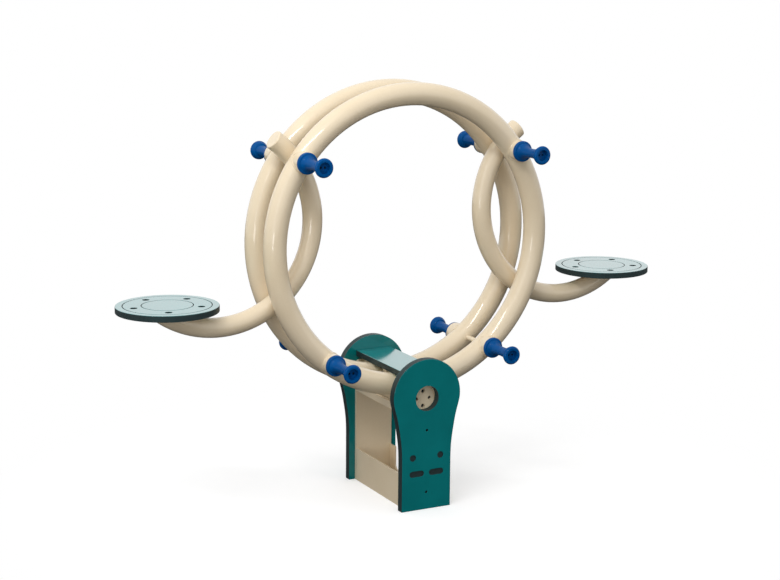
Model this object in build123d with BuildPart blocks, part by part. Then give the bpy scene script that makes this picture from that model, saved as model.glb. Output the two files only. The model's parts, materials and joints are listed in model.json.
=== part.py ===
from build123d import *
import os

# Two-seat ring seesaw. Millimetres, +Z up, ground at z = 0, pedestal centred on the origin.
# X runs from seat to seat, Y runs along the pivot axis.

os.makedirs("parts", exist_ok=True)

# ---- driving sizes ----
seat_reach = 762.0            # pivot line to the centre of either seat
seat_top = 677.5
seat_r = 152.4
seat_t = 19.05
ring_r = 450.0                # centreline radius of the two rings
ring_z = 824.0                # height of the ring centres
ring_y = 70.9                 # ring planes either side of the middle
ring_tube_r = 35.0
tube_wall = 3.6
arm_r = 304.8                 # bend radius of an arm
arm_tube_r = 30.15
arm_x = 600.0                 # bend centre of an arm
arm_z = 900.0
arm_top_angle = 53.7          # upper end of the bend above level
arm_low_angle = 134.0         # lower end of the bend below level, before it is cut to the seat plate
panel_face_y = 197.3          # outer faces of the side panels
panel_t = 25.4
plate_t = 9.5                 # steel side plates of the pedestal
cross_t = 4.8                 # thinner plates across the pedestal's foot
plate_half_x = 64.0
plate_top = 411.0
pivot_z = 347.5
hub_r = 50.8
hub_wall = 6.35
core_r = 30.0
board_half_x = 61.6
board_half_y = 170.7          # stops just short of the side panels
board_t = 19.05
grip_upper = (367.5, 1087.2)  # handhold axes, x and z
grip_lower = (274.5, 469.5)
grip_end_y = 243.0
grip_flange_r = 32.5
grip_neck_r = 15.8
grip_bell_r = 28.0
grip_recess_r = 17.5
grip_recess = 15.0

# ---- clearances ----
weld_gap = 0.1                # between pieces that are welded or screwed to each other
bush_clear = 0.05             # rubber bush round the fixed core
end_clear = 0.3               # hub end to thrust washer
bolt_clear = 0.2              # on the radius of a bolt hole

# ---- sizes that follow ----
panel_in = panel_face_y - panel_t
plate_in = panel_in - plate_t
ring_out_y = ring_y + ring_tube_r
ring_in_y = ring_y - ring_tube_r
arm_cross_low = (417.5, 656.0)
rod_r = 8.0
rod_half = ring_out_y - 1.5        # cross rods end just inside the tubes' outer sides
pin_half = ring_in_y + tube_wall + 6
ring_open_angle = 4.0             # a ring is a bent tube whose two ends are coped onto the hub
seat_under = seat_top - seat_t
seat_plate_t = 6.35
seat_plate_under = seat_under - seat_plate_t
seat_plate_r = 114.3
seat_bolt_pcr = 103.0
board_under = ring_z - ((ring_r - ring_tube_r) ** 2 - board_half_x ** 2) ** 0.5 + weld_gap
hub_half = plate_in - 4.4
washer_t = 2.0
disc_in = hub_half + end_clear + washer_t + weld_gap
disc_r = 41.0
disc_hole_r = 6.0
plate_skin = 2.0                  # steel left behind each blind bolt hole
disc_out = panel_in - 2.9
boss_r = 32.5
boss_out_y = ring_out_y + 13.6
bar_under = pivot_z + hub_r + weld_gap
cross_low_top = 106.0
cross_up = (299.5, 322.0)


def front_back():
    return (("front", -1), ("rear", 1))


def left_right():
    return (("left", -1), ("right", 1))


def finish(builder, label):
    builder.part.label = label
    export_step(builder.part, "parts/" + label + ".step")


def along_y(x, y, z):
    # a place whose own axis points along Y
    return Location((x, y, z), (90, 0, 0))


# ================= pedestal =================

with BuildPart() as base_plate:
    with BuildSketch(Plane.XY):
        Rectangle(2 * (plate_half_x - cross_t), 2 * plate_in)
        with GridLocations(76, 254, 2, 2):
            Circle(7, mode=Mode.SUBTRACT)
    extrude(amount=plate_t)
finish(base_plate, "base_plate")

for word, s in front_back():
    with BuildPart() as side_plate:
        with BuildSketch(Plane.XZ.offset(-s * panel_in)):
            with BuildLine():
                # the top falls away to either side, clear of the swinging board
                Polyline((-plate_half_x, 0), (plate_half_x, 0), (plate_half_x, plate_top - 18),
                         (plate_half_x - 6, plate_top - 10.5), (12, plate_top), (-12, plate_top),
                         (6 - plate_half_x, plate_top - 10.5), (-plate_half_x, plate_top - 18), close=True)
            make_face()
            with Locations((0, pivot_z)):
                Circle(disc_r + weld_gap, mode=Mode.SUBTRACT)
        extrude(amount=s * plate_t)
        with BuildSketch(Plane.XZ.offset(-s * panel_in)):
            with Locations((0, 55.5), (0, 253.6)):
                Circle(4 + bolt_clear)
        extrude(amount=s * (plate_t - plate_skin), mode=Mode.SUBTRACT)
    finish(side_plate, word + "_side_plate")

with BuildPart() as near_cross_plate:
    with BuildSketch(Plane.YZ.offset(-plate_half_x)):
        with Locations((0, cross_low_top / 2)):
            Rectangle(2 * plate_in, cross_low_top)
    extrude(amount=cross_t)
finish(near_cross_plate, "left_cross_plate")

with BuildPart() as far_cross_plate:
    with BuildSketch(Plane.YZ.offset(plate_half_x)):
        with Locations((0, cross_low_top / 2)):
            Rectangle(2 * plate_in, cross_low_top)
        with Locations((0, 30 + cross_low_top / 2)):
            RectangleRounded(2 * plate_in - 74, cross_low_top, 18, mode=Mode.SUBTRACT)
        with Locations((0, cross_low_top)):
            Rectangle(2 * plate_in - 74, cross_low_top, mode=Mode.SUBTRACT)
    extrude(amount=-cross_t)
finish(far_cross_plate, "right_cross_plate")

for word, s in left_right():
    with BuildPart() as upper_cross:
        with BuildSketch(Plane.YZ.offset(s * plate_half_x)):
            with Locations((0, sum(cross_up) / 2)):
                Rectangle(2 * plate_in, cross_up[1] - cross_up[0])
        extrude(amount=-s * plate_t)
    finish(upper_cross, word + "_upper_cross_plate")

with BuildPart() as pivot_core:
    with BuildSketch(Plane.XZ.offset(-disc_in + weld_gap)):
        with Locations((0, pivot_z)):
            Circle(core_r)
    extrude(amount=2 * (disc_in - weld_gap))
    for word, s in front_back():
        with BuildSketch(Plane.XZ.offset(-s * (disc_in - weld_gap))):
            with Locations((0, pivot_z)):
                with PolarLocations(22.8, 4):
                    Circle(3 + weld_gap)
        extrude(amount=s * 20, mode=Mode.SUBTRACT)
finish(pivot_core, "pivot_core")

for word, s in front_back():
    with BuildPart() as pivot_disc:
        with BuildSketch(Plane.XZ.offset(-s * disc_in)):
            with Locations((0, pivot_z)):
                Circle(disc_r)
        extrude(amount=-s * (disc_out - disc_in))
        outer_edge = pivot_disc.faces().sort_by(Axis.Y)[-1 if s > 0 else 0].edges()
        fillet(outer_edge, radius=2.5)
        with BuildSketch(Plane.XZ.offset(-s * disc_in)):
            with Locations((0, pivot_z)):
                with PolarLocations(22.8, 4):
                    Circle(disc_hole_r)
        extrude(amount=-s * (disc_out - disc_in), mode=Mode.SUBTRACT)
    finish(pivot_disc, word + "_pivot_disc")

    with BuildPart() as washer:
        with BuildSketch(Plane.XZ.offset(-s * (disc_in - weld_gap))):
            with Locations((0, pivot_z)):
                Circle(48)
                Circle(core_r + 0.5, mode=Mode.SUBTRACT)
        extrude(amount=s * washer_t)
    finish(washer, word + "_thrust_washer")

with BuildPart() as pivot_screws:
    for word, s in front_back():
        for y0, reach, r in ((disc_in + 0.2, 3.5, disc_hole_r - 0.4), (disc_in - 15, 15.2, 3.0)):
            with BuildSketch(Plane.XZ.offset(-s * y0)):
                with Locations((0, pivot_z)):
                    with PolarLocations(22.8, 4):
                        Circle(r)
            extrude(amount=-s * reach)
finish(pivot_screws, "pivot_screws")

# half outline of a side panel, from the foot up to its widest point
panel_side = [(85, 150), (88, 215), (94.5, 259), (102, 298), (112.5, 337), (115.5, 362)]

for word, s in front_back():
    with BuildPart() as panel:
        with BuildSketch(Plane.XZ.offset(-s * panel_in)):
            with BuildLine():
                Line((-85, 0), (85, 0))
                Line((85, 0), panel_side[0])
                Spline(*panel_side, tangents=[(0, 1), (0, 1)])
                ThreePointArc(panel_side[-1], (0, 362 + 115.5), (-115.5, 362))
                Spline(*[(-x, z) for x, z in panel_side], tangents=[(0, 1), (0, 1)])
                Line((-85, 150), (-85, 0))
            make_face()
            with Locations((0, 354.4)):
                Circle(39.6, mode=Mode.SUBTRACT)
            with Locations((0, 55.5), (0, 253.6)):
                Circle(4 + bolt_clear, mode=Mode.SUBTRACT)
        extrude(amount=-s * panel_t)
        outer_rim = panel.faces().sort_by(Axis.Y)[-1 if s > 0 else 0].outer_wire().edges()
        fillet(outer_rim, radius=1.5)
        # shallow routed marks through the coloured skin
        with BuildSketch(Plane.XZ.offset(-s * panel_face_y)):
            with Locations((-48, 169.5), (48, 169.5)):
                Circle(10.5)
            with Locations((-34, 117), (34, 117)):
                SlotOverall(50, 19)
        extrude(amount=s * 3.0, mode=Mode.SUBTRACT)
    finish(panel, word + "_side_panel")

with BuildPart() as panel_bolts:
    for word, s in front_back():
        with BuildSketch(Plane.XZ.offset(-s * (plate_in + plate_skin + weld_gap))):
            with Locations((0, 55.5), (0, 253.6)):
                Circle(4)
        extrude(amount=-s * (panel_face_y - 6 - plate_in - plate_skin - weld_gap))
finish(panel_bolts, "panel_bolts")

# ================= rocker =================

with BuildPart() as hub_tube:
    with BuildSketch(Plane.XZ.offset(-hub_half)):
        with Locations((0, pivot_z)):
            Circle(hub_r)
            Circle(hub_r - hub_wall, mode=Mode.SUBTRACT)
    extrude(amount=2 * hub_half)
finish(hub_tube, "hub_tube")

for word, s in front_back():
    with BuildPart() as bush:
        with BuildSketch(Plane.XZ.offset(-s * (hub_half - 3))):
            with Locations((0, pivot_z)):
                Circle(hub_r - hub_wall - bush_clear)
                Circle(core_r + bush_clear, mode=Mode.SUBTRACT)
        extrude(amount=s * 60)
    finish(bush, word + "_torsion_bush")

for word, s in front_back():
    with BuildPart() as ring:
        with BuildLine(Plane.XZ.offset(-s * ring_y)) as hoop:
            CenterArc((0, ring_z), ring_r, ring_open_angle - 90, 360 - 2 * ring_open_angle)
        with BuildSketch(Plane(origin=hoop.line @ 0, z_dir=hoop.line % 0)):
            Circle(ring_tube_r)
            Circle(ring_tube_r - tube_wall, mode=Mode.SUBTRACT)
        sweep(path=hoop.line)
        with Locations(along_y(0, s * ring_y, pivot_z)):
            Cylinder(hub_r + weld_gap, 100, mode=Mode.SUBTRACT)
        for side, t in left_right():
            for x, z in (grip_upper, grip_lower):
                with Locations(along_y(t * x, s * ring_y, z)):
                    Cylinder(rod_r + weld_gap, 100, mode=Mode.SUBTRACT)
            with Locations(along_y(t * arm_cross_low[0], 0, arm_cross_low[1])):
                Cylinder(rod_r + weld_gap, 2 * pin_half + 1, mode=Mode.SUBTRACT)
    finish(ring, word + "_ring")

for side, t in left_right():
    top_start = arm_top_angle if t < 0 else 180 - arm_top_angle
    with BuildPart() as arm:
        with BuildLine(Plane.XZ) as bend:
            CenterArc((t * arm_x, arm_z), arm_r, top_start, t * (arm_top_angle + arm_low_angle))
        with BuildSketch(Plane(origin=bend.line @ 0, z_dir=bend.line % 0)):
            Circle(arm_tube_r)
            Circle(arm_tube_r - tube_wall, mode=Mode.SUBTRACT)
        sweep(path=bend.line)
        with Locations((t * (seat_reach + 30), 0, seat_plate_under - weld_gap)):
            Box(160, 100, 100, align=(Align.CENTER, Align.CENTER, Align.MIN), mode=Mode.SUBTRACT)
        for x, z in (grip_upper, arm_cross_low):
            with Locations(along_y(t * x, 0, z)):
                Cylinder(rod_r + weld_gap, 100, mode=Mode.SUBTRACT)
    finish(arm, side + "_arm")

    with BuildPart() as arm_cap:
        with BuildSketch(Plane(origin=bend.line @ 0, z_dir=-(bend.line % 0))):
            Circle(arm_tube_r)
        extrude(amount=5)
        cap_top = arm_cap.faces().filter_by(GeomType.PLANE).sort_by(Axis.Z)[-1].edges()
        fillet(cap_top, radius=4.5)
    finish(arm_cap, side + "_arm_cap")

with BuildPart() as cross_rods:
    for side, t in left_right():
        for x, z in (grip_upper, grip_lower):
            with Locations(along_y(t * x, 0, z)):
                Cylinder(rod_r, 2 * rod_half)
finish(cross_rods, "cross_rods")

with BuildPart() as arm_pins:
    for side, t in left_right():
        with Locations(along_y(t * arm_cross_low[0], 0, arm_cross_low[1])):
            Cylinder(rod_r, 2 * pin_half)
finish(arm_pins, "arm_pins")

with BuildPart() as arm_spacers:
    for side, t in left_right():
        for x, z in (grip_upper, arm_cross_low):
            for s in (-1, 1):
                mid = (ring_in_y + arm_tube_r) / 2
                with Locations(along_y(t * x, s * mid, z)):
                    Cylinder(13, ring_in_y - arm_tube_r - 2 * weld_gap)
                    Cylinder(rod_r + weld_gap, 20, mode=Mode.SUBTRACT)
finish(arm_spacers, "arm_spacers")

for word, s in front_back():
    with BuildPart() as bosses:
        boss_len = boss_out_y - ring_y
        for side, t in left_right():
            for x, z in (grip_upper, grip_lower):
                with Locations(along_y(t * x, s * (ring_y + boss_len / 2), z)):
                    Cylinder(boss_r, boss_len)
        with BuildSketch(Plane.XY.offset(ring_z)):
            with Locations((ring_r, s * ring_y)):
                Circle(ring_tube_r + weld_gap)
        revolve(axis=Axis((0, s * ring_y, ring_z), (0, 1, 0)), mode=Mode.SUBTRACT)
        for side, t in left_right():
            for x, z in (grip_upper, grip_lower):
                with Locations(along_y(t * x - 7, s * boss_out_y, z), along_y(t * x + 7, s * boss_out_y, z)):
                    Cylinder(2.5 + weld_gap, 20, mode=Mode.SUBTRACT)
    finish(bosses, word + "_grip_bosses")

grip_in_y = boss_out_y + weld_gap
floor_y = grip_end_y - grip_recess
for word, s in front_back():
    for side, t in left_right():
        for level, (x, z) in (("upper", grip_upper), ("lower", grip_lower)):
            with BuildPart() as grip:
                with BuildSketch(Plane((t * x, 0, z))):
                    with BuildLine():
                        fr, br, nr = grip_flange_r, grip_bell_r, grip_neck_r
                        iy, ey = grip_in_y, grip_end_y
                        Polyline((0, s * iy), (fr, s * iy), (fr, s * (iy + 5)))
                        ThreePointArc((fr, s * (iy + 5)), (fr - 1.2, s * (iy + 8.6)), (fr - 5, s * (iy + 10.5)))
                        Line((fr - 5, s * (iy + 10.5)), (fr - 6.5, s * (iy + 10.5)))
                        Spline((fr - 6.5, s * (iy + 10.5)), (nr + 4.2, s * (iy + 19)), (nr + 0.5, s * (iy + 33)),
                               (nr, s * (ey - 38)), (nr + 2.6, s * (ey - 24)), (br, s * (ey - 10)),
                               tangents=[(-0.4, s), (0.35, s)])
                        ThreePointArc((br, s * (ey - 10)), (br - 0.3, s * (ey - 3)), (br - 4.5, s * ey))
                        Polyline((br - 4.5, s * ey), (grip_recess_r, s * ey), (grip_recess_r, s * floor_y),
                                 (0, s * floor_y), (0, s * iy))
                    make_face()
                revolve(axis=Axis((t * x, 0, z), (0, 1, 0)))
                half = (grip_in_y + floor_y) / 2
                with Locations(along_y(t * x - 7, s * half, z), along_y(t * x + 7, s * half, z)):
                    Cylinder(2.5 + weld_gap, floor_y - grip_in_y + 2, mode=Mode.SUBTRACT)
                with Locations(along_y(t * x - 7, s * floor_y, z), along_y(t * x + 7, s * floor_y, z)):
                    Cylinder(3.8, 20, mode=Mode.SUBTRACT)
            finish(grip, "_".join((word, level, side, "grip")))

with BuildPart() as grip_screws:
    for s in (-1, 1):
        for t in (-1, 1):
            for x, z in (grip_upper, grip_lower):
                for dx in (-7, 7):
                    with Locations(along_y(t * x + dx, s * (boss_out_y - 9 + floor_y - 10) / 2, z)):
                        Cylinder(2.5, floor_y - 10 - boss_out_y + 9)
                    with Locations(along_y(t * x + dx, s * (floor_y - 7.4), z)):
                        Cylinder(3.6, 5)
finish(grip_screws, "grip_screws")

for side, t in left_right():
    with BuildPart() as seat_plate:
        with BuildSketch(Plane.XY.offset(seat_plate_under)):
            with Locations((t * seat_reach, 0)):
                Circle(seat_plate_r)
                with PolarLocations(seat_bolt_pcr, 5, start_angle=36):
                    Circle(4 + bolt_clear, mode=Mode.SUBTRACT)
        extrude(amount=seat_plate_t)
    finish(seat_plate, side + "_seat_plate")

    with BuildPart() as seat:
        with BuildSketch(Plane.XY.offset(seat_under)):
            with Locations((t * seat_reach, 0)):
                Circle(seat_r)
        extrude(amount=seat_t)
        fillet(seat.edges().filter_by(GeomType.CIRCLE), radius=1.5)
        with BuildSketch(Plane.XY.offset(seat_top)):
            with Locations((t * seat_reach, 0)):
                for groove_r in (130.8, 75.9):
                    Circle(groove_r + 1.5)
                    Circle(groove_r - 1.5, mode=Mode.SUBTRACT)
                with PolarLocations(seat_bolt_pcr, 5, start_angle=36):
                    Circle(11)
        extrude(amount=-2.5, mode=Mode.SUBTRACT)
        with BuildSketch(Plane.XY.offset(seat_top)):
            with Locations((t * seat_reach, 0)):
                with PolarLocations(seat_bolt_pcr, 5, start_angle=36):
                    Circle(11)
        extrude(amount=-9, mode=Mode.SUBTRACT)
        with BuildSketch(Plane.XY.offset(seat_top)):
            with Locations((t * seat_reach, 0)):
                with PolarLocations(seat_bolt_pcr, 5, start_angle=36):
                    Circle(4 + bolt_clear)
        extrude(amount=-seat_t, mode=Mode.SUBTRACT)
    finish(seat, side + "_seat")

    with BuildPart() as seat_bolts:
        head_z = seat_top - 9
        for z0, reach, r in ((seat_plate_under, head_z - seat_plate_under, 4.0), (head_z, 5.0, 8.0)):
            with BuildSketch(Plane.XY.offset(z0)):
                with Locations((t * seat_reach, 0)):
                    with PolarLocations(seat_bolt_pcr, 5, start_angle=36):
                        Circle(r)
            extrude(amount=reach)
    finish(seat_bolts, side + "_seat_bolts")

bar_places = [(0, y) for y in (-133, 0, 133)]
with BuildPart() as board_bars:
    with BuildSketch(Plane.XY.offset(bar_under)):
        with Locations(*bar_places):
            Rectangle(92, 24)
            with GridLocations(68, 10, 2, 1):
                Circle(4 + bolt_clear, mode=Mode.SUBTRACT)
    extrude(amount=board_under - bar_under)
finish(board_bars, "board_bars")

with BuildPart() as board:
    with BuildSketch(Plane.XY.offset(board_under)):
        Rectangle(2 * board_half_x, 2 * board_half_y)
    extrude(amount=board_t)
    fillet(board.edges(), radius=1.5)
    with BuildSketch(Plane.XY.offset(board_under)):
        with Locations(*bar_places):
            with GridLocations(68, 10, 2, 1):
                Circle(4 + weld_gap)
    extrude(amount=12, mode=Mode.SUBTRACT)
finish(board, "top_board")

with BuildPart() as board_screws:
    for z0, reach, r in ((bar_under, board_under - bar_under + 11, 4.0), (bar_under - 4, 4.0, 6.5)):
        with BuildSketch(Plane.XY.offset(z0)):
            with Locations(*bar_places):
                with GridLocations(68, 10, 2, 1):
                    Circle(r)
        extrude(amount=reach)
finish(board_screws, "board_screws")
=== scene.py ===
# %% [markdown]
# # A two-seat hoop seesaw
# Everything below either gives those parts a real finish or adds the small made details that a
# CAD solid leaves out.
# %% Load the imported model
import json
import math
import bpy
from mathutils import Matrix, Vector


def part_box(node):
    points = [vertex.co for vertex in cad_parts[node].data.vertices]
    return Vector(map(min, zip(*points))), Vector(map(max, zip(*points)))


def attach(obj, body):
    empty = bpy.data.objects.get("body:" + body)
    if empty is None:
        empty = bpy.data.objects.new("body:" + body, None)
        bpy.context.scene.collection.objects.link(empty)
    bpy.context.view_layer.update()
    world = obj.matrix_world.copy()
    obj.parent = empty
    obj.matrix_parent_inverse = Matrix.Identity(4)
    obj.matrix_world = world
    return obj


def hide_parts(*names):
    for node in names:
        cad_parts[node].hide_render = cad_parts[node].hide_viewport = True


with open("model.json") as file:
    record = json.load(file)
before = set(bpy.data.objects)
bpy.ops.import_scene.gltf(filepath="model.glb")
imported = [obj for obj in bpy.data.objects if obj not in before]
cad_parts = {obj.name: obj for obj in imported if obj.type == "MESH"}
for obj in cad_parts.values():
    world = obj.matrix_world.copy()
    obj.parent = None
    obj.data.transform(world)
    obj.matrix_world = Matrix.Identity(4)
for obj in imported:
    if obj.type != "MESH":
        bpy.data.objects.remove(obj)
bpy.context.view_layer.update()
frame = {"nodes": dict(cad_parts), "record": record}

nodes = frame["nodes"]
MM = 0.001

# %% [markdown]
# Paint charts, plastic sheet makers and screens all quote colours as sRGB hex values, but a
# renderer adds up light, so it needs linear values. One function does that change for the whole
# file. A second small function adds a shader node, sets it and wires it, so that a material can
# be read from top to bottom as a list of what it is made of.
# %% Two helpers
def colour(hex_value):
    """An sRGB hex value as linear red, green, blue and alpha."""
    parts = [int(hex_value[i:i + 2], 16) / 255 for i in (1, 3, 5)]
    return [v / 12.92 if v <= 0.04045 else ((v + 0.055) / 1.055) ** 2.4 for v in parts] + [1.0]


def add(tree, kind, settings=None, inputs=None):
    """Adds a node. Inputs are keyed by socket name or number; a socket is wired, a value is set."""
    node = tree.nodes.new(kind)
    for name, value in (settings or {}).items():
        setattr(node, name, value)
    for name, value in (inputs or {}).items():
        if isinstance(value, bpy.types.NodeSocket):
            tree.links.new(value, node.inputs[name])
        else:
            node.inputs[name].default_value = value
    return node


print("cream in linear light", [round(v, 3) for v in colour("#E2D4B5")])

# %% [markdown]
# The camera stands about five metres away, a little above an adult's eye, with a long lens, which
# is how a catalogue shows playground equipment: little perspective, and the seat tops just seen.
# Yaw is measured from +Y towards +X, and the small roll keeps the uprights where they belong.
# %% Camera
CAMERA_PLACE = Vector((-2.43613, -4.63387, 1.72223))
YAW, PITCH, ROLL = math.radians(27.4477), math.radians(-11.5079), math.radians(0.4524)
LENS_MM, SENSOR_MM = 78.89, 36.0

ahead = Vector((math.sin(YAW) * math.cos(PITCH), math.cos(YAW) * math.cos(PITCH), math.sin(PITCH)))
level_right = Vector((math.cos(YAW), -math.sin(YAW), 0))
level_up = level_right.cross(ahead)
right = level_right * math.cos(ROLL) + level_up * math.sin(ROLL)
up = level_up * math.cos(ROLL) - level_right * math.sin(ROLL)

camera_data = bpy.data.cameras.new("catalogue_camera")
camera_data.lens = LENS_MM
camera_data.sensor_width = SENSOR_MM
camera = bpy.data.objects.new("catalogue_camera", camera_data)
turn = Matrix((right, up, -ahead)).transposed()
camera.matrix_world = Matrix.Translation(CAMERA_PLACE) @ turn.to_4x4()
bpy.context.scene.collection.objects.link(camera)
bpy.context.scene.camera = camera
print("camera looks along", [round(v, 3) for v in ahead])

# %% [markdown]
# The light is a white studio dome, soft and brightest high on the left, so that tubes are pale on
# top and fall off to a deeper tone underneath and on their right. Two narrow strip lamps, one
# overhead and one standing on the left, draw the long thin highlights that a powder-coated tube
# carries along its bend. A low soft box on the left lights the inside of the pedestal.
# The background is white to the camera, and also to reflections, so the gloss on the sheet shows
# the same studio that we see behind the object.
# %% Light and background
DOME_DARK, DOME_BRIGHT = 0.34, 1.03
BRIGHT_SIDE = Vector((-0.55, -0.25, 0.80)).normalized()

scene = bpy.context.scene
scene.view_settings.view_transform = "Standard"
world = bpy.data.worlds.new("white_studio")
scene.world = world
world.use_nodes = True
sky = world.node_tree
sky.nodes.clear()
path = add(sky, "ShaderNodeLightPath")
seen = add(sky, "ShaderNodeMath", {"operation": "MAXIMUM"},
           {0: path.outputs["Is Camera Ray"], 1: path.outputs["Is Glossy Ray"]})
shown = add(sky, "ShaderNodeMath", {"operation": "MAXIMUM"},
            {0: seen.outputs[0], 1: path.outputs["Is Transmission Ray"]})
heading = add(sky, "ShaderNodeTexCoord")
toward_bright = add(sky, "ShaderNodeVectorMath", {"operation": "DOT_PRODUCT"},
                    {0: heading.outputs["Generated"], 1: BRIGHT_SIDE})
dome = add(sky, "ShaderNodeMapRange", None,
           {"Value": toward_bright.outputs["Value"], "From Min": -1.0,
            "To Min": DOME_DARK, "To Max": DOME_BRIGHT})
level = add(sky, "ShaderNodeMix", None, {0: shown.outputs[0], 2: dome.outputs[0], 3: 1.0})
glow = add(sky, "ShaderNodeBackground", None, {"Color": (1, 1, 1, 1), "Strength": level.outputs[0]})
add(sky, "ShaderNodeOutputWorld", None, {"Surface": glow.outputs[0]})

# name: place in metres, the point it faces, width and height of the panel, watts
LAMPS = {"overhead_strip": ((-2.0, -1.6, 3.6), (0, 0, 0.8), (2.4, 0.35), 46.0),
         "left_strip": ((-3.6, -2.6, 1.9), (0, 0, 0.6), (0.22, 2.6), 12.0),
         "low_left_box": ((-2.8, -2.6, 0.55), (-0.1, 0, 0.3), (0.8, 0.5), 8.0)}
for name, (stand, facing, panel_size, watts) in LAMPS.items():
    lamp_data = bpy.data.lights.new(name, "AREA")
    lamp_data.shape = "RECTANGLE"
    lamp_data.size, lamp_data.size_y = panel_size
    lamp_data.energy = watts
    lamp = bpy.data.objects.new(name, lamp_data)
    lamp.location = stand
    lamp.rotation_euler = (Vector(facing) - lamp.location).to_track_quat("-Z", "Y").to_euler()
    scene.collection.objects.link(lamp)
print("dome from", DOME_DARK, "to", DOME_BRIGHT, "and", len(LAMPS), "lamps")

# %% [markdown]
# The floor is a pale disc. To the camera it is nearly white and keeps the soft shadow of the foot,
# and away from the object it fades into the white background, so no horizon line shows. To light
# that bounces it is a dark grey, and to reflections a darker one, which keeps the undersides of the
# tubes and the gloss of the sheet as deep as they are outdoors over rubber safety paving.
# %% Floor
FLOOR_RADIUS = 9.0
FADE_START, FADE_END = 0.35, 1.3
RIM_POINTS = 96
BOUNCED = (0.10, 0.10, 0.10, 1)
MIRRORED = (0.06, 0.06, 0.06, 1)
PAPER = (0.72, 0.72, 0.72, 1)
PAPER_GLOW = 0.36

floor_mesh = bpy.data.meshes.new("floor")
turns = [math.tau * i / RIM_POINTS for i in range(RIM_POINTS)]
rim = [(FLOOR_RADIUS * math.cos(a), FLOOR_RADIUS * math.sin(a), 0) for a in turns]
floor_mesh.from_pydata(rim, [], [range(RIM_POINTS)])
floor = bpy.data.objects.new("floor", floor_mesh)
scene.collection.objects.link(floor)

floor_paper = bpy.data.materials.new("studio_paper")
floor_paper.use_nodes = True
tree = floor_paper.node_tree
tree.nodes.clear()
where = add(tree, "ShaderNodeNewGeometry")
reach = add(tree, "ShaderNodeVectorMath", {"operation": "LENGTH"}, {0: where.outputs["Position"]})
fade = add(tree, "ShaderNodeMapRange", {"interpolation_type": "SMOOTHSTEP"},
           {"Value": reach.outputs["Value"], "From Min": FADE_START, "From Max": FADE_END})
path = add(tree, "ShaderNodeLightPath")
bounced = add(tree, "ShaderNodeBsdfDiffuse", None, {"Color": BOUNCED})
mirrored = add(tree, "ShaderNodeBsdfDiffuse", None, {"Color": MIRRORED})
unseen = add(tree, "ShaderNodeMixShader", None,
             {0: path.outputs["Is Glossy Ray"], 1: bounced.outputs[0], 2: mirrored.outputs[0]})
paper = add(tree, "ShaderNodeBsdfDiffuse", None, {"Color": PAPER})
paper_glow = add(tree, "ShaderNodeEmission", None, {"Color": (1, 1, 1, 1), "Strength": PAPER_GLOW})
pale = add(tree, "ShaderNodeAddShader", None, {0: paper.outputs[0], 1: paper_glow.outputs[0]})
white = add(tree, "ShaderNodeEmission", None, {"Color": (1, 1, 1, 1), "Strength": 1.0})
faded = add(tree, "ShaderNodeMixShader", None,
            {0: fade.outputs[0], 1: pale.outputs[0], 2: white.outputs[0]})
looked_at = add(tree, "ShaderNodeMath", {"operation": "MAXIMUM"},
                {0: path.outputs["Is Camera Ray"], 1: path.outputs["Is Transmission Ray"]})
floor_mix = add(tree, "ShaderNodeMixShader", None,
                {0: looked_at.outputs[0], 1: unseen.outputs[0], 2: faded.outputs[0]})
add(tree, "ShaderNodeOutputMaterial", None, {"Surface": floor_mix.outputs[0]})
floor_mesh.materials.append(floor_paper)
print("floor fades out between", FADE_START, "and", FADE_END, "m")


# %% [markdown]
# Every finish starts the same way: a principled shader with an output, and a mottle that varies
# slowly over the part. Real surfaces are never one colour all over, because film thickness, dust
# and handling shift them by a percent or two. Object coordinates are in metres and stay with the
# part when it rocks.
# %% Starting a finish
def start_finish(name, ior=1.5, metallic=0.0, coat=0.0, coat_roughness=0.1, specular=0.5):
    """A named material: its node tree, its principled shader and the part's own coordinates."""
    material = bpy.data.materials.new(name)
    material.use_nodes = True
    tree = material.node_tree
    tree.nodes.clear()
    shader = add(tree, "ShaderNodeBsdfPrincipled", None,
                 {"IOR": ior, "Metallic": metallic, "Coat Weight": coat,
                  "Coat Roughness": coat_roughness, "Specular IOR Level": specular})
    add(tree, "ShaderNodeOutputMaterial", None, {"Surface": shader.outputs[0]})
    place = add(tree, "ShaderNodeTexCoord").outputs["Object"]
    return material, tree, shader, place


print("a noise blotch of 180 mm needs a scale of", round(1 / (180 * MM), 2))

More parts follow.
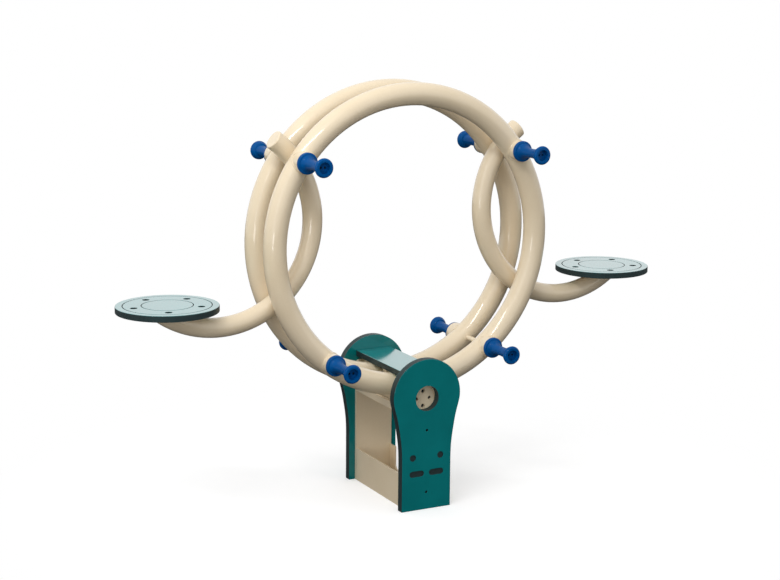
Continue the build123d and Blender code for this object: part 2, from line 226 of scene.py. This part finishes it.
# %% [markdown]
# The tubes and the pedestal are steel with a polyester powder coat in cream. Powder is sprayed dry
# and baked, and it flows out into a hard film about 0.08 mm thick with a faint orange-peel ripple,
# two to three millimetres from crest to crest. To the eye that is an even satin body with one
# sharper highlight on top, so the shader gets a satin base and a thin clear coat. Polyester has an
# IOR near 1.5. The ripple is drawn at 5 mm, about twice its real size, so that it just shows.
# A noise texture's scale is one over the size of its blotches, so each is written in millimetres.
# %% Powder-coated steel
def powder_coat():
    material, tree, shader, place = start_finish("cream_powder_coat", coat=0.75,
                                                 coat_roughness=0.07)
    cloud = add(tree, "ShaderNodeTexNoise", None,
                {"Vector": place, "Scale": 1 / (180 * MM), "Detail": 4, "Roughness": 0.55})
    body = add(tree, "ShaderNodeMix", {"data_type": "RGBA"},
               {0: cloud.outputs["Fac"], 6: colour("#E2D0B0"), 7: colour("#F0E1C7")})
    speck = add(tree, "ShaderNodeTexNoise", None, {"Vector": place, "Scale": 1 / (3.5 * MM)})
    dust = add(tree, "ShaderNodeMix", {"data_type": "RGBA"},
               {0: speck.outputs["Fac"], 6: colour("#F8F5F0"), 7: colour("#FFFFFF")})
    mixed = add(tree, "ShaderNodeMix", {"data_type": "RGBA", "blend_type": "MULTIPLY"},
                {0: 1.0, 6: body.outputs[2], 7: dust.outputs[2]})
    flow = add(tree, "ShaderNodeTexNoise", None,
               {"Vector": place, "Scale": 1 / (45 * MM), "Detail": 3})
    rough = add(tree, "ShaderNodeMapRange", None,
                {"Value": flow.outputs["Fac"], "To Min": 0.34, "To Max": 0.44})
    peel = add(tree, "ShaderNodeTexNoise", None,
               {"Vector": place, "Scale": 1 / (5 * MM), "Detail": 1})
    ripple = add(tree, "ShaderNodeBump", None,
                 {"Height": peel.outputs["Fac"], "Distance": 0.03 * MM, "Strength": 0.35})
    tree.links.new(mixed.outputs[2], shader.inputs["Base Color"])
    tree.links.new(rough.outputs[0], shader.inputs["Roughness"])
    tree.links.new(ripple.outputs[0], shader.inputs["Normal"])
    return material


cream = powder_coat()
print("made", cream.name)


# %% [markdown]
# The panels, the top board and the seats are routed from high-density polyethylene sheet pressed
# in layers: a teal skin about half a millimetre thick on both faces, and a black core. Wherever
# the router cuts, on edges, in grooves and in pockets, the core shows. Painting that by hand would
# never follow the cuts, so the shader asks how deep below the sheet's face a point lies: within
# the skin it is teal, below it black. The faces have a fine hair-cell grain from the press plate.
# Riders polish the seats and the board, which mirror the sky at a low angle. Their teal is
# also painted paler than the panels' teal: painted light for faces turned up to the sky, where the
# panels keep the deeper, shaded tone. The gloss is in the coat, because a coat's weight can
# follow the skin and leave the routed core dull. The polished coat's IOR of 2.1 is higher than any
# plastic has (polyethylene is near 1.5); it stands in for that burnish.
# %% Two-colour sheet
SKIN_MM = 0.5
FACE_TINT = "#B0FFFF"
CORE_ROUGHNESS, CORE_COAT = 0.55, 0.03
# coat IOR and coat weight
POLISHED_FACE, PLAIN_FACE = (2.1, 0.95), (1.5, 0.5)


def two_colour_sheet(name, axis, low, high, polished_and_painted_paler):
    """Sheet whose faces lie low and high metres from the origin plane along an axis number."""
    coat_ior, face_coat = POLISHED_FACE if polished_and_painted_paler else PLAIN_FACE
    material, tree, shader, place = start_finish(name, ior=1.45, coat=face_coat,
                                                 coat_roughness=0.12)
    shader.inputs["Coat IOR"].default_value = coat_ior
    shader.inputs["Specular Tint"].default_value = colour(FACE_TINT)
    along = add(tree, "ShaderNodeSeparateXYZ", None, {0: place})
    away = add(tree, "ShaderNodeMath", {"operation": "ABSOLUTE"}, {0: along.outputs[axis]})
    far_skin = add(tree, "ShaderNodeMath", {"operation": "GREATER_THAN"},
                   {0: away.outputs[0], 1: high - SKIN_MM * MM})
    near_skin = add(tree, "ShaderNodeMath", {"operation": "LESS_THAN"},
                    {0: away.outputs[0], 1: low + SKIN_MM * MM})
    skin = add(tree, "ShaderNodeMath", {"operation": "MAXIMUM"},
               {0: far_skin.outputs[0], 1: near_skin.outputs[0]})
    cloud = add(tree, "ShaderNodeTexNoise", None,
                {"Vector": place, "Scale": 1 / (120 * MM), "Detail": 4})
    # the seats' and board's teal is painted paler than the panels': painted light for faces turned
    # up
    deep, pale = ("#007274", "#048D90") if polished_and_painted_paler else ("#00686A", "#047F82")
    teal = add(tree, "ShaderNodeMix", {"data_type": "RGBA"},
               {0: cloud.outputs["Fac"], 6: colour(deep), 7: colour(pale)})
    chatter = add(tree, "ShaderNodeTexNoise", None,
                  {"Vector": place, "Scale": 1 / (30 * MM), "Detail": 4})
    black = add(tree, "ShaderNodeMix", {"data_type": "RGBA"},
                {0: chatter.outputs["Fac"], 6: colour("#1B2022"), 7: colour("#2E3436")})
    mixed = add(tree, "ShaderNodeMix", {"data_type": "RGBA"},
                {0: skin.outputs[0], 6: black.outputs[2], 7: teal.outputs[2]})
    rubbed = add(tree, "ShaderNodeTexNoise", None,
                 {"Vector": place, "Scale": 1 / (60 * MM), "Detail": 3})
    skin_rough = add(tree, "ShaderNodeMapRange", None,
                     {"Value": rubbed.outputs["Fac"], "To Min": 0.13, "To Max": 0.18})
    rough = add(tree, "ShaderNodeMix", None,
                {0: skin.outputs[0], 2: CORE_ROUGHNESS, 3: skin_rough.outputs[0]})
    film = add(tree, "ShaderNodeMapRange", None,
               {"Value": skin.outputs[0], "To Min": CORE_COAT, "To Max": face_coat})
    hair_cell = add(tree, "ShaderNodeTexNoise", None,
                    {"Vector": place, "Scale": 1 / (3.5 * MM), "Detail": 1})
    grain = add(tree, "ShaderNodeBump", None,
                {"Height": hair_cell.outputs["Fac"], "Distance": 0.02 * MM, "Strength": 0.25})
    tree.links.new(mixed.outputs[2], shader.inputs["Base Color"])
    tree.links.new(rough.outputs[0], shader.inputs["Roughness"])
    tree.links.new(film.outputs[0], shader.inputs["Coat Weight"])
    tree.links.new(grain.outputs[0], shader.inputs["Normal"])
    return material


seat_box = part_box("left_seat")
board_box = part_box("top_board")
panel_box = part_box("rear_side_panel")
ALONG_Y, ALONG_Z = 1, 2
sheet_for = {
    # seats and board take the polished sheet, whose teal is painted paler: painted light on upward
    # faces
    "left_seat": two_colour_sheet("polished_sheet_seats_painted_paler", ALONG_Z,
                                  seat_box[0].z, seat_box[1].z, True),
    "top_board": two_colour_sheet("polished_sheet_board_painted_paler", ALONG_Z,
                                  board_box[0].z, board_box[1].z, True),
    "rear_side_panel": two_colour_sheet("teal_sheet_panels", ALONG_Y,
                                        panel_box[0].y, panel_box[1].y, False),
}
sheet_for["right_seat"] = sheet_for["left_seat"]
sheet_for["front_side_panel"] = sheet_for["rear_side_panel"]
seat_thick = (seat_box[1].z - seat_box[0].z) / MM
print("seat sheet is", round(seat_thick, 2), "mm thick, skin", SKIN_MM, "mm")

# %% [markdown]
# The hand grips are injection-moulded nylon in a strong blue. The mould is spark-eroded, which
# leaves a fine matt grain about half a millimetre across, drawn here at two millimetres so that it
# shows. Hands polish the crests, which catch small sharp lights over a deep body. Nylon's real IOR
# is near 1.53; it is set lower here, so that a matt grip doesn't turn pale at its edges.
# %% Moulded blue nylon
def moulded_nylon():
    material, tree, shader, place = start_finish("blue_moulded_nylon", ior=1.3, coat=0.12,
                                                 coat_roughness=0.05, specular=0.08)
    cloud = add(tree, "ShaderNodeTexNoise", None,
                {"Vector": place, "Scale": 1 / (22 * MM), "Detail": 4})
    body = add(tree, "ShaderNodeMix", {"data_type": "RGBA"},
               {0: cloud.outputs["Fac"], 6: colour("#00427E"), 7: colour("#005599")})
    handled = add(tree, "ShaderNodeTexNoise", None,
                  {"Vector": place, "Scale": 1 / (9 * MM), "Detail": 3})
    rough = add(tree, "ShaderNodeMapRange", None,
                {"Value": handled.outputs["Fac"], "To Min": 0.30, "To Max": 0.46})
    spark = add(tree, "ShaderNodeTexNoise", None, {"Vector": place, "Scale": 1 / (2 * MM)})
    grain = add(tree, "ShaderNodeBump", None,
                {"Height": spark.outputs["Fac"], "Distance": 0.05 * MM, "Strength": 0.4})
    tree.links.new(body.outputs[2], shader.inputs["Base Color"])
    tree.links.new(rough.outputs[0], shader.inputs["Roughness"])
    tree.links.new(grain.outputs[0], shader.inputs["Normal"])
    return material


blue = moulded_nylon()
print("made", blue.name)


# %% [markdown]
# Three small finishes complete the set: black moulded rubber for the bushes, turned black
# nylon for the thrust washers, and blackened steel for screws. Black oxide is a thin conversion
# layer on steel, so it is dark and only half metallic to the eye, with a satin gleam on the edges.
# %% Rubber, nylon and blackened steel
def dark_finish(name, darkest, palest, cloud_mm, roughness, metallic, grain_mm, grain_depth_mm):
    material, tree, shader, place = start_finish(name, metallic=metallic)
    cloud = add(tree, "ShaderNodeTexNoise", None,
                {"Vector": place, "Scale": 1 / (cloud_mm * MM), "Detail": 4})
    body = add(tree, "ShaderNodeMix", {"data_type": "RGBA"},
               {0: cloud.outputs["Fac"], 6: colour(darkest), 7: colour(palest)})
    wear = add(tree, "ShaderNodeTexNoise", None,
               {"Vector": place, "Scale": 2 / (cloud_mm * MM), "Detail": 3})
    rough = add(tree, "ShaderNodeMapRange", None,
                {"Value": wear.outputs["Fac"], "To Min": roughness[0], "To Max": roughness[1]})
    fine = add(tree, "ShaderNodeTexNoise", None, {"Vector": place, "Scale": 1 / (grain_mm * MM)})
    grain = add(tree, "ShaderNodeBump", None,
                {"Height": fine.outputs["Fac"], "Distance": grain_depth_mm * MM, "Strength": 0.5})
    tree.links.new(body.outputs[2], shader.inputs["Base Color"])
    tree.links.new(rough.outputs[0], shader.inputs["Roughness"])
    tree.links.new(grain.outputs[0], shader.inputs["Normal"])
    return material


rubber = dark_finish("moulded_black_rubber", "#131313", "#2E2E2E", 12, (0.6, 0.8), 0.0, 0.8, 0.06)
nylon = dark_finish("turned_black_nylon", "#18191A", "#323334", 10, (0.35, 0.5), 0.0, 0.6, 0.03)
oxide = dark_finish("black_oxide_steel", "#202123", "#45464A", 6, (0.32, 0.45), 0.6, 0.7, 0.02)
print("made", rubber.name, nylon.name, oxide.name)

# %% [markdown]
# Each CAD part keeps its exact shape and takes the finish of what it is made of. The record says
# which slot a part belongs to, so the list only needs one line per slot.
# %% Dress the CAD parts
finish_for_slot = {"cream_paint": cream, "blue_grip": blue, "black_rubber": rubber,
                   "black_nylon": nylon, "dark_bolts": oxide}
slot_of = {row["node"]: row["material_slot"] for row in frame["record"]["subparts"]}
for name, part in nodes.items():
    finish = sheet_for.get(name) or finish_for_slot[slot_of[name]]
    if not part.material_slots:
        part.data.materials.append(finish)
    for place_in in part.material_slots:
        place_in.material = finish
print("dressed", len(nodes), "parts")

# %% [markdown]
# Up close, what tells a bolted product from a block model is the hardware. The screws here are
# button heads with a hexagon socket, so a vandal needs the right key. A head and its socket are
# made as one closed skin: a stack of rings, each with the same number of points, where a ring may
# be round or six-sided. Joining ring to ring gives clean four-sided faces, with no boolean cut.
# %% A socket screw from stacked rings
RING_POINTS = 36
# name: shank radius, head radius, head height and key size across the flats, in millimetres
SCREWS_MM = {"seat": (4.0, 8.0, 4.6, 5.0), "pivot": (3.0, 5.6, 3.4, 4.0),
             "panel": (4.15, 4.15, 3.9, 4.0), "grip": (2.5, 3.6, 4.8, 3.0)}
CHAMFER = 0.3 * MM


def hexagon_reach(angle, flat):
    """Distance from a hexagon's middle to its side; flat is half the size across the flats."""
    return flat / math.cos((angle % (math.pi / 3)) - math.pi / 6)


def add_screw(verts, faces, place, along, kind, shank_len):
    """One screw of a kind, whose head rests at place and points along. Lengths in metres."""
    shank_r, head_r, head_h, key = (size * MM for size in SCREWS_MM[kind])
    side = along.orthogonal().normalized()
    other = along.cross(side)
    crown = min(0.3 * head_h, 0.8 * MM)
    # radius, height, whether six-sided: the shank, the button head, then down into the socket
    rings = [(shank_r, -shank_len, False), (shank_r, 0, False),
             (head_r - crown / 2, 0, False), (head_r, crown / 2, False),
             (head_r, head_h * 0.45, False), (head_r * 0.93, head_h * 0.75, False),
             (head_r * 0.76, head_h, False), (key / 2 + CHAMFER, head_h, True),
             (key / 2, head_h - CHAMFER, True), (key / 2, head_h * 0.3, True)]
    first = len(verts)
    for radius, height, six_sided in rings:
        for i in range(RING_POINTS):
            angle = math.tau * i / RING_POINTS
            reach = hexagon_reach(angle, radius) if six_sided else radius
            outward = side * math.cos(angle) + other * math.sin(angle)
            verts.append(place + along * height + outward * reach)
    for k in range(len(rings) - 1):
        for i in range(RING_POINTS):
            a, b = first + k * RING_POINTS + i, first + k * RING_POINTS + (i + 1) % RING_POINTS
            faces.append((a, b, b + RING_POINTS, a + RING_POINTS))
    faces.append(tuple(first + i for i in reversed(range(RING_POINTS))))
    last = first + (len(rings) - 1) * RING_POINTS
    faces.append(tuple(last + i for i in range(RING_POINTS)))


def new_piece(name, verts, faces, finish, body, smooth_below=35):
    """A mesh object in its true place, with a finish, riding on a body."""
    mesh = bpy.data.meshes.new(name)
    mesh.from_pydata(verts, [], faces)
    mesh.materials.append(finish)
    mesh.validate()
    piece = bpy.data.objects.new(name, mesh)
    scene.collection.objects.link(piece)
    mesh.shade_smooth()
    mesh.set_sharp_from_angle(angle=math.radians(smooth_below))
    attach(piece, body)
    return piece


print(len(SCREWS_MM), "kinds of screw,", RING_POINTS, "points to a ring")

# %% [markdown]
# The screws sit where the CAD bolts are, so their places are read from the boxes of the parts they
# hold: a seat's middle and the spread of its bolts give the bolt circle, a grip's middle gives its
# pair, and the discs give the ring of four at each end of the pivot. The panel screws end in blind
# holes, so their shanks stop short of the plate's inner face. Each set replaces its CAD solid.
# %% Screws in the seats, pivot, panels and grips
UP, BACK = Vector((0, 0, 1)), Vector((0, 1, 0))
# height of the CAD bolt heads, which the socket heads stand in for
SEAT_HEAD, PIVOT_HEAD, PANEL_HEAD, GRIP_HEAD = 5 * MM, 3.5 * MM, 4 * MM, 5 * MM
PIVOT_SHANK = 14 * MM
PANEL_BOLT_R, PANEL_BLIND_END = 4 * MM, 2.5 * MM
GRIP_SCREW_OFFSET, GRIP_SCREW_BITE = 7 * MM, 9 * MM


def middle(name):
    low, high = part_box(name)
    return (low + high) / 2


for side in ("left", "right"):
    verts, faces = [], []
    low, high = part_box(side + "_seat_bolts")
    head_r = SCREWS_MM["seat"][1] * MM
    # of five bolts, those farthest along Y stand 18 degrees off that axis
    circle_r = ((high.y - low.y) / 2 - head_r) / math.cos(math.radians(18))
    seat = middle(side + "_seat")
    for k in range(5):
        a = math.radians(36 + 72 * k)
        place = Vector((seat.x + circle_r * math.cos(a), circle_r * math.sin(a),
                        high.z - SEAT_HEAD))
        add_screw(verts, faces, place, UP, "seat", place.z - low.z)
    piece = new_piece(side + "_seat_socket_screws", verts, faces, oxide, "rocker")
    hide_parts(side + "_seat_bolts")

verts, faces = [], []
low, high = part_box("pivot_screws")
pivot = middle("hub_tube")
disc_circle_r = (high.x - low.x) / 2 - SCREWS_MM["pivot"][1] * MM
for toward in (-1, 1):
    for k in range(4):
        a = math.radians(90 * k)
        place = Vector((pivot.x + disc_circle_r * math.cos(a), toward * (high.y - PIVOT_HEAD),
                        pivot.z + disc_circle_r * math.sin(a)))
        add_screw(verts, faces, place, BACK * toward, "pivot", PIVOT_SHANK)
piece = new_piece("pivot_socket_screws", verts, faces, oxide, "base")
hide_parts("pivot_screws")

verts, faces = [], []
low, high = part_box("panel_bolts")
panel_shank = high.y - PANEL_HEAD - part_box("rear_side_plate")[0].y - PANEL_BLIND_END
for toward in (-1, 1):
    for z in (low.z + PANEL_BOLT_R, high.z - PANEL_BOLT_R):
        place = Vector((0, toward * (high.y - PANEL_HEAD), z))
        add_screw(verts, faces, place, BACK * toward, "panel", panel_shank)
piece = new_piece("panel_socket_screws", verts, faces, oxide, "base")
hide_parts("panel_bolts")

verts, faces = [], []
grips = [name for name in nodes if name.endswith("_grip")]
low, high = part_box("grip_screws")
boss_face_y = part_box("rear_grip_bosses")[1].y
for name in grips:
    hold = middle(name)
    toward = 1 if hold.y > 0 else -1
    for offset in (-GRIP_SCREW_OFFSET, GRIP_SCREW_OFFSET):
        place = Vector((hold.x + offset, toward * (high.y - GRIP_HEAD), hold.z))
        shank_len = abs(place.y) - boss_face_y + GRIP_SCREW_BITE
        add_screw(verts, faces, place, BACK * toward, "grip", shank_len)
piece = new_piece("grip_socket_screws", verts, faces, oxide, "rocker")
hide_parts("grip_screws")
print("screws stand in", len(grips), "grips, two seats, two discs and two panels")

# %% [markdown]
# The steelwork is welded before it is coated, and the powder flows over each weld, so a bead shows
# as a soft rounded ridge in the same cream. A welder's wire leaves ripples about 4 mm apart. Each
# bead is a tube swept along the true curve where two parts meet, worked out from their radii, and
# its thickness swells and pinches by a few percent at the ripple spacing.
# %% A weld bead along a curve
RIPPLE_MM = 4.0
BEAD_R = 2.6 * MM
BEAD_SIDES = 8


def add_bead(verts, faces, points, closed):
    """A rippled tube along points that lie about a millimetre apart."""
    count = len(points)
    first = len(verts)
    travelled = 0.0
    for i, point in enumerate(points):
        before = points[i - 1] if closed or i > 0 else point
        after = points[(i + 1) % count] if closed or i < count - 1 else point
        run = (after - before).normalized()
        side = run.cross(Vector((0.21, 0.35, 0.91))).normalized()
        other = run.cross(side)
        if i:
            travelled += (point - points[i - 1]).length
        radius = BEAD_R * (1 + 0.07 * math.sin(math.tau * travelled / (RIPPLE_MM * MM)))
        if not closed:
            radius *= min(1.0, 0.35 + 0.2 * min(i, count - 1 - i))
        for k in range(BEAD_SIDES):
            a = math.tau * k / BEAD_SIDES
            verts.append(point + (side * math.cos(a) + other * math.sin(a)) * radius)
    for i in range(count if closed else count - 1):
        for k in range(BEAD_SIDES):
            a, b = i * BEAD_SIDES + k, i * BEAD_SIDES + (k + 1) % BEAD_SIDES
            c = ((i + 1) % count) * BEAD_SIDES + (k + 1) % BEAD_SIDES
            d = ((i + 1) % count) * BEAD_SIDES + k
            faces.append((first + a, first + b, first + c, first + d))
    if not closed:
        faces.append(tuple(first + k for k in reversed(range(BEAD_SIDES))))
        faces.append(tuple(first + (count - 1) * BEAD_SIDES + k for k in range(BEAD_SIDES)))


ring_low, ring_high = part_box("rear_ring")
tube_r = (ring_high.y - ring_low.y) / 2
ring_y = (ring_high.y + ring_low.y) / 2
ring_r = ring_high.x - tube_r
ring_z = ring_high.z - ring_high.x
print("rings: bend radius", round(ring_r / MM, 1), "mm, tube", round(2 * tube_r / MM, 1), "mm")

# %% [markdown]
# Three joints carry visible beads: the round bosses that the grips bolt to, saddled onto the
# rings; each arm where it meets its seat plate; and the rings where they are coped onto the hub.
# A boss is a round bar through a torus, so each point round the boss is lifted until it lies on
# the ring. The arm is a torus cut by a level plane, and the hub is a bar across a torus.
# %% Weld beads
verts, faces = [], []
boss_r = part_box("rear_grip_bosses")[1].x - max(middle(name).x for name in grips)
for name in grips:
    hold = middle(name)
    toward = 1 if hold.y > 0 else -1
    steps = 200
    points = []
    for i in range(steps):
        a = math.tau * i / steps
        x, z = hold.x + boss_r * math.cos(a), hold.z + boss_r * math.sin(a)
        off = math.hypot(x, z - ring_z) - ring_r
        points.append(Vector((x, toward * (ring_y + math.sqrt(max(tube_r ** 2 - off ** 2, 0))), z)))
    add_bead(verts, faces, points, True)

ARM_BEND_R = 304.8 * MM
BEAD_SUNK = 0.5 * MM
for side, toward in (("left", -1), ("right", 1)):
    low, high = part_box(side + "_arm")
    arm_r = (high.y - low.y) / 2
    bend_x = min(abs(low.x), abs(high.x)) + ARM_BEND_R + arm_r
    bend_z = low.z + ARM_BEND_R + arm_r
    plate_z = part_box(side + "_seat_plate")[0].z
    steps = 240
    points = []
    for i in range(steps):
        a = math.tau * i / steps
        reach = ARM_BEND_R + arm_r * math.cos(a)
        fall = math.asin((bend_z - plate_z) / reach)
        points.append(Vector((toward * (bend_x + reach * math.cos(fall)), arm_r * math.sin(a),
                              plate_z - BEAD_SUNK)))
    add_bead(verts, faces, points, True)

hub_low, hub_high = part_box("hub_tube")
hub_r = (hub_high.z - hub_low.z) / 2
drop = ring_z - pivot.z
for ring_side in (-1, 1):
    for toward in (-1, 1):
        points = []
        for i in range(241):
            a = -math.pi + math.tau * i / 240
            reach = ring_r - tube_r * math.cos(a)
            lean = (reach ** 2 + drop ** 2 - hub_r ** 2) / (2 * drop * reach)
            if lean > 0.99995:
                continue
            swing = math.acos(lean)
            points.append(Vector((toward * reach * math.sin(swing),
                                  ring_side * (ring_y - tube_r * math.sin(a)),
                                  ring_z - reach * math.cos(swing))))
        widest = max(range(len(points)), key=lambda i: (points[i] - points[i - 1]).length)
        points = points[widest:] + points[:widest]
        add_bead(verts, faces, points, False)
welds = new_piece("coated_weld_beads", verts, faces, cream, "rocker", 60)
print("weld beads", len(verts), "points")
